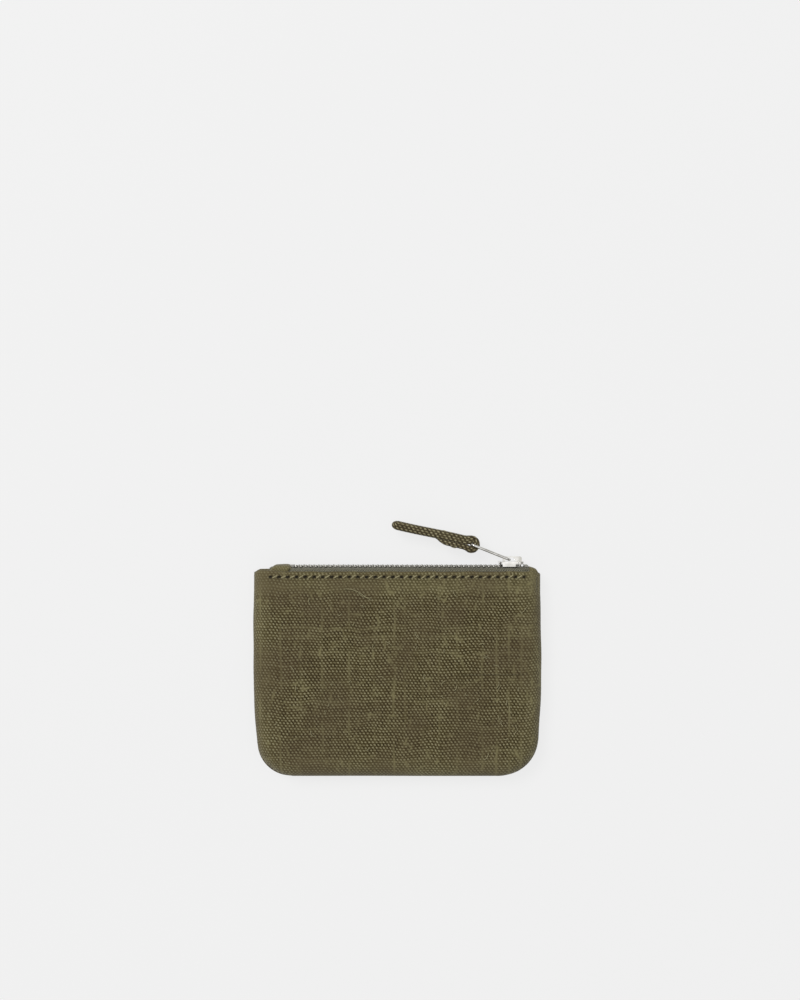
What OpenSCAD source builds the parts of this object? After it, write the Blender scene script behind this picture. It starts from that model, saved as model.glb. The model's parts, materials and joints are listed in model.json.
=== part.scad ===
// Small zippered pouch in canvas with a metal zip and a canvas pull.
// It lies on its back: X runs along the zip, +Y points to the zip, +Z is the front.
// The origin is the centre of the back's flat rest face.

/* [Body] */
// Width over the side seams
body_w = 120; // [100:1:180]
// Height from the bottom seam to the hem's fold
body_h = 86; // [65:1:130]
// Thickness of the filled-out pouch
body_t = 13; // [12.5:0.5:16]
// Outline radius of the bottom corners
corner_r = 15; // [10:0.5:18]
// Thickness of one layer of canvas
canvas_t = 0.8; // [0.6:0.05:0.9]
// Depth of the folded hem along the mouth
hem_d = 10; // [8:0.5:14]
// Width of the seam allowance inside
seam_w = 6.3; // [5:0.1:6.5]

/* [Stitching] */
// Length of one topstitch from hole to hole
topstitch_pitch = 3.6; // [2.5:0.1:5]
// Distance of the topstitch row below the hem's fold
topstitch_down = 2.8; // [2:0.1:5]
// Diameter of the topstitch thread
thread_d = 0.38; // [0.3:0.01:0.4]
// Length of one seam stitch
seam_pitch = 3.4; // [2.5:0.1:5]
// Thickness of the binding over the raw edges
binding_t = 0.35; // [0.2:0.05:0.5]

/* [Zip] */
// Height of the tape's middle above the hem's fold
tape_up = 0.9; // [0.8:0.05:1.5]
// Thickness of the tape
tape_t = 0.5; // [0.3:0.05:0.6]
// Depth of the tape's sewn leg inside the mouth
tape_leg = 8.5; // [6:0.5:9.5]
// Diameter of the cord along the tape's edge
cord_d = 1.1; // [0.9:0.05:1.2]
// Distance from one tooth to the next in a row
tooth_pitch = 2.06; // [1.9:0.01:2.4]
// Height of a tooth through the tape
tooth_h = 2.4; // [2:0.1:3]
// Width of a tooth's head along the zip
head_w = 0.94; // [0.8:0.01:0.94]
// Width of a tooth's jaws along the zip
jaw_w = 1.3; // [1:0.05:1.5]
// How far a head reaches past the middle of the chain
mesh_in = 0.6; // [0.4:0.05:0.6]
// Half width of the closed chain
chain_half = 2.25; // [2.25:0.05:2.4]
// Length of a stop along the zip
stop_l = 1.5; // [1:0.1:2]

/* [End tabs] */
// Distance of the left tab's inner edge from the left side
left_tab_in = 15.4; // [14:0.1:20]
// Distance of the right tab's inner edge from the right side
right_tab_in = 5.2; // [4.8:0.1:5.4]
// Thickness of a tab's folded layer
tab_t = 0.7; // [0.5:0.05:0.8]

/* [Slider] */
// Distance of the closed slider's nose from the right side
nose_in = 7.4; // [7.2:0.1:9]
// Length of the slider
slider_l = 10.3; // [9:0.1:12]
// Thickness of the slider's two plates
plate_t = 1.1; // [0.8:0.05:1.3]
// Half width of the slider's straight part
slider_half = 3.7; // [3.5:0.05:3.8]
// Width of the post that parts the rows
post_w = 1.1; // [0.8:0.05:1.2]
// Width of the crown
crown_w = 3; // [2:0.1:3.6]
// Height of the crown above the top plate
crown_h = 2.1; // [2.05:0.05:2.6]

/* [Pull] */
// Wire diameter of the ring
wire_d = 1.1; // [0.8:0.05:1.1]
// Length of the ring between its two bars
ring_l = 17; // [12:0.5:22]
// Width of the ring between its two side wires
ring_w = 7; // [6:0.1:8]
// Angle of the ring above the zip, in degrees
ring_angle = 21.7; // [15:0.1:35]
// Length of the strap from the ring's bar to the tip
strap_l = 33.8; // [22:0.1:45]
// Width of the strap across the zip
strap_w = 5.2; // [3:0.1:5.3]
// Thickness of the strap's long layer
strap_t = 3.5; // [2:0.1:3.6]
// Thickness of the layer that is folded back
tail_t = 2.4; // [1.5:0.1:2.4]
// Length of the layer that is folded back
tail_l = 14; // [8:0.5:18]
// Radius of the strap's eye
eye_r = 3.6; // [3:0.1:3.7]
// Angle of the strap above the zip, in degrees
strap_angle = 14.5; // [10:0.1:30]

/* [Clearances] */
// Running clearance of the slider, the ring and the strap
run = 0.3; // [0.3:0.05:0.35]
// Gap between sewn or clamped pieces
snug = 0.02; // [0.01:0.01:0.05]

/* [Hidden] */
$fn = 48;
past = 1;                                   // how far a cut runs past the surface it opens

mid = body_t / 2;                           // height of the seam plane
top_y = body_h / 2;
low_y = -body_h / 2;
side_x = body_w / 2;
flat_x = side_x - mid;                      // where the rounded sides begin
hem_in = mid - 2 * canvas_t;                // the hem's inner face above the seam plane
tape_y = top_y + tape_up;
leg_out = hem_in - snug;
leg_in = leg_out - tape_t;
stop_in = canvas_t + 0.05;                  // the top stops clear the seam allowances
cord_z = stop_in + 0.6;                     // the cord's middle, out from the chain's middle
jaw_in = mesh_in + 0.1;                     // where a tooth's jaws begin
groove = thread_d + 2 * snug;               // how deep the topstitch pulls the canvas in
stitch_y = top_y - topstitch_down;
seam_thread_d = 0.3;
seam_thread_top = canvas_t + seam_thread_d + snug;
// the seam runs as near the outline as the hem's rounded inner face lets it
seam_line = mid - sqrt(pow(hem_in, 2) - pow(seam_thread_top, 2)) + seam_thread_d / 2 + 0.1;
binding_d = seam_w - seam_line - 0.3;       // the binding stops short of the seam stitches

left_tab_x = -side_x + left_tab_in;
right_tab_x = side_x - right_tab_in;
stop_x = left_tab_x + 0.1;                  // the bottom stop's left end
nose_x = side_x - nose_in;
tail_x = nose_x - slider_l;
top_stop_x = nose_x + run;
tape_x0 = -flat_x + run;
tape_x1 = side_x - 1.8;
cord_x1 = right_tab_x - 0.2;

plate_in = tooth_h / 2 + run;               // the plates' inner faces from the tape's middle
plate_top = tape_y + plate_in + plate_t;
flange_in = chain_half + run;
post_x = slider_l - 3.1;                    // the post's tail, from the slider's tail
post_l = 2.2;
bar_x = tail_x + 4.3;                       // the ring's bar under the crown
bar_y = plate_top + wire_d / 2 + run;
far_x = bar_x - ring_l * cos(ring_angle);
far_y = bar_y + ring_l * sin(ring_angle);
teeth_x0 = stop_x + stop_l + 0.2;
teeth_x1 = tail_x + post_x - run;
tooth_count = floor((teeth_x1 - teeth_x0 - jaw_w) / tooth_pitch - 0.5) + 1;

// An extrusion along X of a shape drawn in Y and Z
module along_x(x0, x1) {
    translate([x0, 0, 0]) rotate([90, 0, 90]) linear_extrude(height = x1 - x0) children();
}

// An extrusion along Y of a shape drawn in X and Z
module along_y(y0, y1) {
    translate([0, y1, 0]) rotate([90, 0, 0]) linear_extrude(height = y1 - y0) children();
}

// An extrusion along Z of a shape drawn in X and Y
module along_z(z0, z1) {
    translate([0, 0, z0]) linear_extrude(height = z1 - z0) children();
}

// A piece above the seam plane, or its mirror image below
module half(front) {
    translate([0, 0, mid]) if (front) children(); else mirror([0, 0, 1]) children();
}

// Section of the rounded edge: flat, then a quarter round, on a skirt below the seam plane
module edge_section(corner, edge, skirt) {
    square([corner - edge, edge]);
    intersection() {
        translate([corner - edge, 0]) circle(r = edge);
        square([corner, edge]);
    }
    if (skirt > 0) translate([0, -skirt]) square([corner, skirt]);
}

// Half of the filled-out pouch, moved in by a distance all round, open at the mouth
module half_slab(inset, y1, skirt = 0) {
    corner = corner_r - inset;
    edge = mid - inset;
    x = side_x - corner_r;
    y = low_y + corner_r;
    for (s = [0, 1]) mirror([s, 0, 0]) {
        translate([x, y, 0]) rotate([0, 0, -90]) rotate_extrude(angle = 90)
            edge_section(corner, edge, skirt);
        along_y(y, y1) translate([x, 0]) edge_section(corner, edge, skirt);
    }
    translate([0, y, 0]) mirror([0, 1, 0]) along_x(-x, x) edge_section(corner, edge, skirt);
    translate([-x, y, -skirt]) cube([2 * x, y1 - y, edge + skirt]);
}

// The pouch's outline, moved in by a distance, up to a height
module outline(inset, y1) {
    corner = corner_r - inset;
    x = side_x - corner_r;
    y = low_y + corner_r;
    translate([-x - corner, y]) square([2 * (x + corner), y1 - y]);
    translate([-x, y - corner]) square([2 * x, corner]);
    for (s = [-1, 1]) translate([s * x, y]) circle(r = corner);
}

// One canvas panel: a shallow tray with a doubled hem and a flat allowance along its seam
module panel() {
    difference() {
        half_slab(0, top_y);
        intersection() {
            union() {
                half_slab(canvas_t, top_y - hem_d, past);
                half_slab(2 * canvas_t, top_y + past, past);
            }
            translate([-body_w, -body_h, canvas_t]) cube([2 * body_w, 2 * body_h, body_t]);
        }
        along_z(-past, canvas_t + past) outline(seam_w, top_y + past);
        translate([-flat_x, stitch_y - thread_d, mid - groove])
            cube([2 * flat_x, 2 * thread_d, groove + past]);
    }
}

// Folded strip over the raw edges of both seam allowances
module seam_binding() {
    y1 = top_y - 0.6;
    deep = canvas_t + binding_t;
    color("#6b6444") translate([0, 0, mid]) difference() {
        along_z(-deep, deep) difference() {
            outline(seam_w - binding_d, y1);
            outline(seam_w + binding_t, top_y);
        }
        along_z(-canvas_t - snug, canvas_t + snug) difference() {
            outline(seam_w - binding_d - past, top_y);
            outline(seam_w + snug, top_y + past);
        }
    }
}

// One stitch: a short run of thread along X
module stitch(length, d) {
    translate([-length / 2, 0, 0]) rotate([0, 90, 0]) cylinder(h = length, d = d, $fn = 16);
}

// The lockstitch that joins the panels, on both faces of the allowances
module seam_stitches() {
    d = seam_thread_d;
    length = seam_pitch * 0.8;
    z = seam_thread_top - d / 2;
    x = side_x - corner_r;
    y = low_y + corner_r;
    r = corner_r - seam_line;
    sides = floor((top_y - 1 - y) / seam_pitch);
    across = floor(2 * x / seam_pitch);
    around = floor(r * PI / 2 / seam_pitch);
    color("#7d7652") for (f = [true, false]) half(f) {
        for (s = [-1, 1], i = [0 : sides - 1])
            translate([s * (side_x - seam_line), y + (i + 0.5) * seam_pitch, z])
                rotate([0, 0, 90]) stitch(length, d);
        for (i = [0 : across - 1])
            translate([(i + 0.5 - across / 2) * seam_pitch, low_y + seam_line, z])
                stitch(length, d);
        for (s = [0, 1], i = [0 : around - 1]) mirror([s, 0, 0])
            translate([x, y, z]) rotate([0, 0, -90 * (i + 0.5) / around])
                translate([r, 0, 0]) rotate([0, 0, 90]) stitch(length, d);
    }
}

// The row of long stitches that holds the tape to the hem
module topstitch() {
    count = floor(2 * flat_x / topstitch_pitch);
    color("#7d7652") for (i = [0 : count - 1])
        translate([(i + 0.5 - count / 2) * topstitch_pitch, stitch_y,
                mid - groove + snug + thread_d / 2])
            stitch(topstitch_pitch * 0.8, thread_d);
}

// Half of the zip tape: a flat leg under the teeth and a leg sewn inside the hem
module zip_tape() {
    z0 = cord_z + cord_d / 2 + snug;
    color("#79776a") {
        along_x(tape_x0, -tape_x0) union() {
            translate([tape_y - tape_t / 2, z0]) square([tape_t, leg_out - z0]);
            translate([tape_y - tape_leg, leg_in]) square([tape_leg, tape_t]);
        }
        translate([-tape_x0, tape_y - tape_t / 2, z0])
            cube([tape_x1 + tape_x0, tape_t, 2.6 - z0]);
    }
}

// The round cord along the tape's edge, which the teeth clamp
module tape_cord() {
    color("#8a8878") translate([tape_x0, tape_y, cord_z]) rotate([0, 90, 0])
        cylinder(h = cord_x1 - tape_x0, d = cord_d);
}

// What a tooth or a stop leaves open for the cord and the tape
module jaw_opening() {
    translate([-body_w, tape_y, cord_z]) rotate([0, 90, 0])
        cylinder(h = 2 * body_w, d = cord_d + 2 * snug);
    translate([-body_w, tape_y - tape_t / 2 - snug, cord_z])
        cube([2 * body_w, tape_t + 2 * snug, chain_half]);
}

// One tooth seen along Y: a narrow head, then wide jaws
module tooth_plan() {
    polygon([[-head_w / 2 + 0.2, -mesh_in], [head_w / 2 - 0.2, -mesh_in],
        [head_w / 2, -mesh_in + 0.3], [head_w / 2, jaw_in], [jaw_w / 2, jaw_in],
        [jaw_w / 2, chain_half - 0.2], [jaw_w / 2 - 0.2, chain_half],
        [-jaw_w / 2 + 0.2, chain_half], [-jaw_w / 2, chain_half - 0.2],
        [-jaw_w / 2, jaw_in], [-head_w / 2, jaw_in], [-head_w / 2, -mesh_in + 0.3]]);
}

// A row of teeth, which starts at a share of the pitch
module teeth(shift) {
    color("#4c4c48") difference() {
        for (i = [0 : tooth_count - 1])
            translate([teeth_x0 + jaw_w / 2 + (i + shift) * tooth_pitch, 0, 0])
                along_y(tape_y - tooth_h / 2, tape_y + tooth_h / 2) tooth_plan();
        jaw_opening();
    }
}

// The stop at the closed end of one row
module top_stop() {
    color("#5a5a55") difference() {
        translate([top_stop_x, tape_y - tooth_h / 2, stop_in])
            cube([stop_l, tooth_h, chain_half + 0.1 - stop_in]);
        jaw_opening();
    }
}

// The stop that holds both rows together at the open end
module bottom_stop() {
    z = chain_half + 0.1;
    color("#5a5a55") translate([0, 0, mid]) difference() {
        translate([stop_x, tape_y - tooth_h / 2, -z]) cube([stop_l, tooth_h, 2 * z]);
        jaw_opening();
        mirror([0, 0, 1]) jaw_opening();
    }
}

// Canvas folded over the left end of the zip
module left_end_tab() {
    x0 = -side_x + seam_w + 0.2;
    open = cord_d / 2 + snug;
    z = leg_in - 0.1;
    color("#736c4a") translate([0, 0, mid]) difference() {
        translate([x0, tape_y - open - tab_t, -z])
            cube([left_tab_x - x0, 2 * (open + tab_t), 2 * z]);
        translate([tape_x0 - snug, tape_y - open, -z - past])
            cube([body_w, 2 * open, 2 * (z + past)]);
    }
}

// Canvas folded over the right end of the zip
module right_end_tab() {
    open = tape_t / 2 + snug;
    layer = tape_up - open - snug;
    z = 2.6;
    color("#736c4a") translate([0, 0, mid]) difference() {
        translate([right_tab_x, tape_y - open - layer, -z])
            cube([side_x - 0.6 - right_tab_x, 2 * (open + layer), 2 * z]);
        translate([0, tape_y - open, -z - past])
            cube([tape_x1 + snug, 2 * open, 2 * (z + past)]);
    }
}

// A slider plate seen along Y, from its tail: a rounded tail and two lobes at the nose
module plate_plan() {
    r = 1.4;
    lobe = 1.8;
    translate([r, -slider_half]) square([slider_l - r - lobe, 2 * slider_half]);
    translate([0, -slider_half + r]) square([r + 1, 2 * (slider_half - r)]);
    for (s = [-1, 1]) {
        translate([r, s * (slider_half - r)]) circle(r = r);
        translate([slider_l - lobe, s * (slider_half - lobe + 0.2)]) circle(r = lobe);
    }
}

// The slider: two plates joined by the post, with flanges that keep the rows together
module slider_body() {
    flange_gap = tape_t / 2 + run;
    color("#c9c9c6") translate([tail_x, tape_y, mid]) {
        for (s = [0, 1]) mirror([0, s, 0]) {
            along_y(plate_in, plate_in + plate_t) plate_plan();
            for (t = [0, 1]) mirror([0, 0, t])
                translate([1.4, flange_gap, flange_in])
                    cube([5.4, plate_in - flange_gap + plate_t / 2, slider_half - flange_in]);
        }
        along_y(-plate_in - plate_t / 2, plate_in + plate_t / 2)
            polygon([[post_x, 0], [post_x + post_l * 0.6, -post_w / 2],
                [post_x + post_l, -post_w / 4], [post_x + post_l, post_w / 4],
                [post_x + post_l * 0.6, post_w / 2]]);
    }
}

// The crown: a bridge on the top plate, open under its left half for the ring's bar
module crown() {
    inside = wire_d + 2 * run - 0.05;
    x0 = 1.7;
    x1 = slider_l - 0.7;
    round = 0.9;
    color("#d4d4d2") translate([tail_x, plate_top, mid]) along_z(-crown_w / 2, crown_w / 2)
        difference() {
            union() {
                translate([x0, 0]) square([x1 - x0, crown_h - round]);
                translate([x0 + round, 0]) square([x1 - x0 - 2 * round, crown_h]);
                for (x = [x0 + round, x1 - round])
                    translate([x, crown_h - round]) circle(r = round);
            }
            polygon([[x0 + round, -past], [x0 + round, inside - 0.4],
                [x0 + round + 0.4, inside], [6, inside], [7.6, 0], [7.6, -past]]);
        }
}

// The pull ring: a wire loop with two bars and two side wires
module pull_ring() {
    bend = 1.3;
    half_w = ring_w / 2;
    color("#d4d4d2") translate([bar_x, bar_y, mid]) rotate([0, 0, 180 - ring_angle]) {
        for (x = [0, ring_l]) translate([x, 0, -half_w + bend])
            cylinder(h = ring_w - 2 * bend, d = wire_d);
        for (s = [-1, 1]) translate([bend, 0, s * half_w]) rotate([0, 90, 0])
            cylinder(h = ring_l - 2 * bend, d = wire_d);
        for (t = [0, 1]) mirror([0, 0, t]) {
            translate([ring_l - bend, 0, half_w - bend]) rotate([90, 0, 0])
                rotate_extrude(angle = 90) translate([bend, 0]) circle(d = wire_d);
            translate([bend, 0, half_w - bend]) rotate([90, 0, 0]) rotate([0, 0, 90])
                rotate_extrude(angle = 90) translate([bend, 0]) circle(d = wire_d);
        }
    }
}

// The strap's own place: the ring's far bar, with X along the strap
module at_strap() {
    translate([far_x, far_y, mid]) rotate([0, 0, 180 - strap_angle]) mirror([0, 1, 0]) children();
}

// The pull strap: a strip that passes round the ring's bar and is sewn back on itself
module pull_strap() {
    color("#5d5438") at_strap() along_z(-strap_w / 2, strap_w / 2) difference() {
        union() {
            circle(r = eye_r);
            translate([0, -0.7]) square([strap_l - strap_t / 2, strap_t]);
            translate([0, -0.6 - tail_t]) square([tail_l, tail_t]);
            translate([strap_l - strap_t / 2, strap_t / 2 - 0.7]) circle(d = strap_t);
        }
        circle(r = wire_d / 2 + run);
    }
}

// Stitches that close the strap's eye, on both faces
module pull_strap_stitching() {
    d = 0.3;
    color("#7d7652") at_strap()
        for (z = [-1.4, 1.4], i = [0 : 2])
            for (y = [strap_t - 0.7 + d / 2 + snug, -0.6 - tail_t - d / 2 - snug])
                translate([tail_l - 2 - i * 2.6, y, z]) stitch(2, d);
}

color("#57502f") half(true) panel();  // front_panel
color("#57502f") half(false) panel();  // back_panel
seam_binding();
seam_stitches();
half(true) topstitch();  // front_topstitch
half(false) topstitch();  // back_topstitch
half(true) zip_tape();  // front_zip_tape
half(false) zip_tape();  // back_zip_tape
half(true) tape_cord();  // front_tape_cord
half(false) tape_cord();  // back_tape_cord
half(true) teeth(0);  // front_teeth
half(false) teeth(0.5);  // back_teeth
half(true) top_stop();  // front_top_stop
half(false) top_stop();  // back_top_stop
bottom_stop();
left_end_tab();
right_end_tab();
slider_body();
crown();  // slider_crown
pull_ring();
pull_strap();
pull_strap_stitching();
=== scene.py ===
# %% [markdown]
# # A small zippered pouch
# The pouch is two canvas panels sewn together and turned, with a metal zip along the mouth.
# The slider, crown, ring and stops come from the CAD frame. The teeth and everything soft are
# built here around that frame: canvas, tape, thread, folded tabs and the pull strap. Lengths are
# in metres, and `MM` turns millimetres into them.

# %% The frame
import json
import math
import mathutils
import bpy
import numpy as np
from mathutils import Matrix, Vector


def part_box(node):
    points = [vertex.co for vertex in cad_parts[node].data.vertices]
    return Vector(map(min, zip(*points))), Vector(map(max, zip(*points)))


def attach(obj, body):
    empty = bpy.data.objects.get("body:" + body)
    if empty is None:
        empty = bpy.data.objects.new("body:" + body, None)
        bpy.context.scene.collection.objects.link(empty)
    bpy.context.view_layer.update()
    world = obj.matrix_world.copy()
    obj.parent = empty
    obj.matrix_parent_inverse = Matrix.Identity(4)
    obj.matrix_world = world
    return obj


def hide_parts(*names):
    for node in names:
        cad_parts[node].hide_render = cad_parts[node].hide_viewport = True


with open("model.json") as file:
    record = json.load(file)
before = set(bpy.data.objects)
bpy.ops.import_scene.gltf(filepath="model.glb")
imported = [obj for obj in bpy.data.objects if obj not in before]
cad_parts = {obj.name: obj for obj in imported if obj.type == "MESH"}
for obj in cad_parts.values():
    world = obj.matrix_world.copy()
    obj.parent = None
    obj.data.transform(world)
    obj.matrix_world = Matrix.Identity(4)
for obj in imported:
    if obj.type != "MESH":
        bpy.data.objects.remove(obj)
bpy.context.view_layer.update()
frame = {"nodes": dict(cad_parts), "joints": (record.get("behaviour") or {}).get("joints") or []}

MM = 0.001
rng = np.random.default_rng(11)

# %% [markdown]
# ## The camera
# The pouch lies flat and is seen from straight above, so the camera looks down -Z. It hangs over
# a point beyond the mouth, near enough to look a few degrees onto the top of the zip. The object
# sits low in a tall frame, so the camera is moved and not shifted: other views then stay true.

# %% The camera
VIEW_HEIGHT = 417.8 * MM       # what the tall side of the frame takes in at the seam plane
CAMERA_X, CAMERA_Y = 1.15 * MM, 72.1 * MM
CAMERA_UP = 0.42
front_low, front_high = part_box("front_panel")
MID = front_low.z
camera = bpy.data.objects.new("camera", bpy.data.cameras.new("camera"))
bpy.context.scene.collection.objects.link(camera)
camera.location = (CAMERA_X, CAMERA_Y, MID + CAMERA_UP)
camera.data.sensor_width = 36
camera.data.lens = camera.data.sensor_width * CAMERA_UP / VIEW_HEIGHT
bpy.context.scene.camera = camera
print("lens", round(camera.data.lens, 1), "mm")

# %% [markdown]
# ## Colour and node helpers
# Colours are written as the sRGB hex values that a designer reads off a swatch. Shaders work in
# linear light, so one function converts them. `add` makes a node, gives it its settings and fills
# or links its inputs; every material below is made with it, or with `maths` and `mix`, which call it.

# %% Colour and node helpers
def linear(code, alpha=1.0):
    channels = [int(code[i:i + 2], 16) / 255 for i in (1, 3, 5)]
    return (*[c / 12.92 if c <= 0.04045 else ((c + 0.055) / 1.055) ** 2.4 for c in channels], alpha)


def add(tree, kind, inputs=None, **settings):
    node = tree.nodes.new("ShaderNode" + kind)
    for name, value in settings.items():
        setattr(node, name, value)
    for key, value in (inputs or {}).items():
        if isinstance(value, bpy.types.NodeSocket):
            tree.links.new(value, node.inputs[key])
        else:
            node.inputs[key].default_value = value
    return node


def maths(tree, operation, *values):
    """The result of a math node."""
    return add(tree, "Math", dict(enumerate(values)), operation=operation).outputs[0]


def mix(tree, factor, colour, code):
    """A colour blended towards a second one, which is given as a hex value."""
    return add(tree, "MixRGB", {"Fac": factor, "Color1": colour, "Color2": linear(code)}).outputs[0]


def new_material(name, surface):
    material = bpy.data.materials.new(name)
    material.use_nodes = True
    tree = material.node_tree
    shader = tree.nodes["Principled BSDF"]
    for socket, value in surface.items():
        shader.inputs[socket].default_value = value
    return material, tree, shader


def ramp(tree, factor, stops):
    node = add(tree, "ValToRGB", {"Fac": factor})
    node.color_ramp.elements.remove(node.color_ramp.elements[1])
    node.color_ramp.elements[0].position = stops[0][0]
    node.color_ramp.elements[0].color = linear(stops[0][1])
    for place, code in stops[1:]:
        node.color_ramp.elements.new(place).color = linear(code)
    return node.outputs["Color"]


# %% [markdown]
# ## Canvas
# Heavy linen-cotton canvas in plain weave, piece-dyed olive: matt, slightly fuzzy, with thick and
# thin yarns. Each yarn shows as a light crown where it passes over its neighbour and a dark pit
# beside it; this is painted into the colour as a highlight on the crowns and as shade in the pits
# and between the weft rows, besides the real bump. The mesh carries the cloth's own coordinates
# in millimetres, so the weave follows the cloth round the edges and closes up where the surface
# turns away. The cosines of the two directions multiply to the chequered crowns of a plain weave.

# %% Canvas
WARP = 0.74                    # mm from one warp yarn to the next
WEFT = 1.12                    # mm from one weft yarn to the next
# Painted shade: this darkens the colour of the lines between the weft yarns.
ROW_GAP_SHADE = 0.2                  # how much darker the lines between the weft yarns are
SLANT = 0.17                   # how far the yarns' twist leans each crown, as a share of the warp
CROWN_HEIGHT = (1.1, 0.35)     # how much the crowns' heights vary, and the least height
FUZZ = 0.9                     # how much the fine nap changes the tone
DRIFT_SIZE = 22                # mm across a patch where the dye has taken unevenly


def woven(name, stops, warp, weft, relief, surface, streak=0.35, slub_colour=None,
          drift_colour=None, pit_shade_colour=None):
    material, tree, shader = new_material(name, surface)
    cloth = add(tree, "Attribute", attribute_name="cloth_mm").outputs["Vector"]
    place = add(tree, "SeparateXYZ", {"Vector": cloth})
    turn = maths(tree, "MULTIPLY", place.outputs["Y"], 2 * math.pi / weft)
    lean = maths(tree, "SINE", turn)
    across = maths(tree, "MULTIPLY_ADD", lean, -SLANT * warp, place.outputs["X"])
    waves = []
    for value, pitch in ((across, warp), (place.outputs["Y"], weft)):
        angle = maths(tree, "MULTIPLY", value, math.pi / pitch)
        waves.append(maths(tree, "COSINE", angle))
    crown = maths(tree, "MULTIPLY", waves[0], waves[1])
    cell = add(tree, "VectorMath", {0: cloth, 1: (1 / warp, 1 / weft, 0), 2: (0.5, 0.5, 0)},
               operation="MULTIPLY_ADD")
    cell = add(tree, "VectorMath", {0: cell.outputs[0]}, operation="FLOOR")
    chance = add(tree, "TexWhiteNoise", {"Vector": cell.outputs[0]}, noise_dimensions="3D")
    height = maths(tree, "MULTIPLY_ADD", chance.outputs["Value"], *CROWN_HEIGHT)
    crown = maths(tree, "MULTIPLY", crown, height)
    # Painted highlight and shade: the crowns' height also sets the colour, light on top and dark beside.
    half = maths(tree, "MULTIPLY_ADD", crown, 0.46, 0.5)
    rows = maths(tree, "COSINE", turn)
    tone = maths(tree, "MULTIPLY_ADD", rows, ROW_GAP_SHADE, half)
    for stretch in ((1 / warp, 0.07, 0), (0.05, 1 / weft, 0)):
        along = add(tree, "VectorMath", {0: cloth, 1: stretch}, operation="MULTIPLY")
        yarn = add(tree, "TexNoise", {"Vector": along.outputs[0], "Scale": 0.9, "Detail": 1.0})
        shift = maths(tree, "SUBTRACT", yarn.outputs["Fac"], 0.5)
        tone = maths(tree, "MULTIPLY_ADD", shift, streak, tone)
    fuzz = add(tree, "TexNoise", {"Vector": cloth, "Scale": 2.4, "Detail": 3.0})
    shift = maths(tree, "SUBTRACT", fuzz.outputs["Fac"], 0.5)
    tone = maths(tree, "MULTIPLY_ADD", shift, FUZZ, tone)
    colour = ramp(tree, tone, stops)
    if slub_colour:
        slub = add(tree, "Attribute", attribute_name="slub")
        colour = mix(tree, slub.outputs["Fac"], colour, slub_colour)
        drift = add(tree, "TexNoise", {"Vector": cloth, "Scale": 1 / DRIFT_SIZE, "Detail": 2.0})
        drift = add(tree, "MapRange", {"Value": drift.outputs["Fac"], "From Min": 0.4, "From Max": 0.62,
                                       "To Max": 0.42})
        colour = mix(tree, drift.outputs[0], colour, drift_colour)
        # Painted shade: the pit field darkens the needle holes and a thin yarn's hollow towards near black.
        pit_shade = add(tree, "Attribute", attribute_name="pit_shade")
        colour = mix(tree, pit_shade.outputs["Fac"], colour, pit_shade_colour)
    tree.links.new(colour, shader.inputs["Base Color"])
    rough = maths(tree, "MULTIPLY_ADD", shift, 0.25, half)
    bump = add(tree, "Bump", {"Height": rough, "Distance": relief * MM, "Strength": 0.8})
    tree.links.new(bump.outputs[0], shader.inputs["Normal"])
    return material


# The last colour, near black, is painted shade for the needle holes and a thin yarn's hollow.
canvas = woven("olive_plain_weave_canvas",
               [(0.0, "#221804"), (0.28, "#3f3519"), (0.55, "#5b5132"), (1.0, "#969070")],
               WARP, WEFT, 0.16, {"Roughness": 0.92, "Sheen Weight": 0.12, "Specular IOR Level": 0.25},
               slub_colour="#827b57", drift_colour="#544733", pit_shade_colour="#0f0a02")
print("canvas:", len(canvas.node_tree.nodes), "nodes")

# %% [markdown]
# ## Thread, tape and strap cloth
# The sewing thread is a spun polyester: matt, a little lighter than the canvas, with its plies
# twisted round each other. The zip tape is woven polyester, smoother and greyer than the canvas,
# with a much finer weave; at its real 0.5 mm pitch it is only just visible. The strap is the
# pouch's canvas pulled a little closer, and a fine cotton tape binds the seam.

# %% Thread, tape and strap cloth
STRAP_WARP, STRAP_WEFT = 0.95, 1.0
tape_cloth = woven("woven_polyester_zip_tape",
                   [(0.0, "#3e3d32"), (0.4, "#5b594b"), (1.0, "#87846f")],
                   0.5, 0.62, 0.06, {"Roughness": 0.75, "Sheen Weight": 0.1}, streak=0.15)
strap_cloth = woven("folded_canvas_strip",
                    [(0.0, "#221804"), (0.32, "#3f351c"), (0.58, "#594f33"), (1.0, "#9c9573")],
                    STRAP_WARP, STRAP_WEFT, 0.12, {"Roughness": 0.9, "Sheen Weight": 0.12})
binding_cloth = woven("cotton_binding_tape", [(0.0, "#50492f"), (1.0, "#7d7654")],
                      0.4, 0.4, 0.05, {"Roughness": 0.9})


def twisted(name, dark, light, ply):
    material, tree, shader = new_material(name, {"Roughness": 0.8, "Sheen Weight": 0.2})
    cloth = add(tree, "Attribute", attribute_name="cloth_mm").outputs["Vector"]
    place = add(tree, "SeparateXYZ", {"Vector": cloth})
    lay = maths(tree, "ADD", place.outputs["X"], place.outputs["Y"])
    angle = maths(tree, "MULTIPLY", lay, 2 * math.pi / ply)
    # Painted highlight and shade: the colour runs light on each ply's crown and dark in the groove between
    # plies, besides the bump.
    half = maths(tree, "MULTIPLY_ADD", maths(tree, "SINE", angle), 0.5, 0.5)
    tree.links.new(ramp(tree, half, [(0, dark), (1, light)]), shader.inputs["Base Color"])
    bump = add(tree, "Bump", {"Height": half, "Distance": 0.05 * MM, "Strength": 0.7})
    tree.links.new(bump.outputs[0], shader.inputs["Normal"])
    return material


PLY = 0.45                     # mm along the thread for one turn of a ply
thread = twisted("spun_polyester_thread", "#79714a", "#b9b18a", PLY)
fibre_yarn = twisted("loose_linen_fibre", "#817955", "#a8a07a", PLY)
cord_yarn = twisted("braided_tape_cord", "#5d5c4e", "#8d8a79", 0.9)

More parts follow.
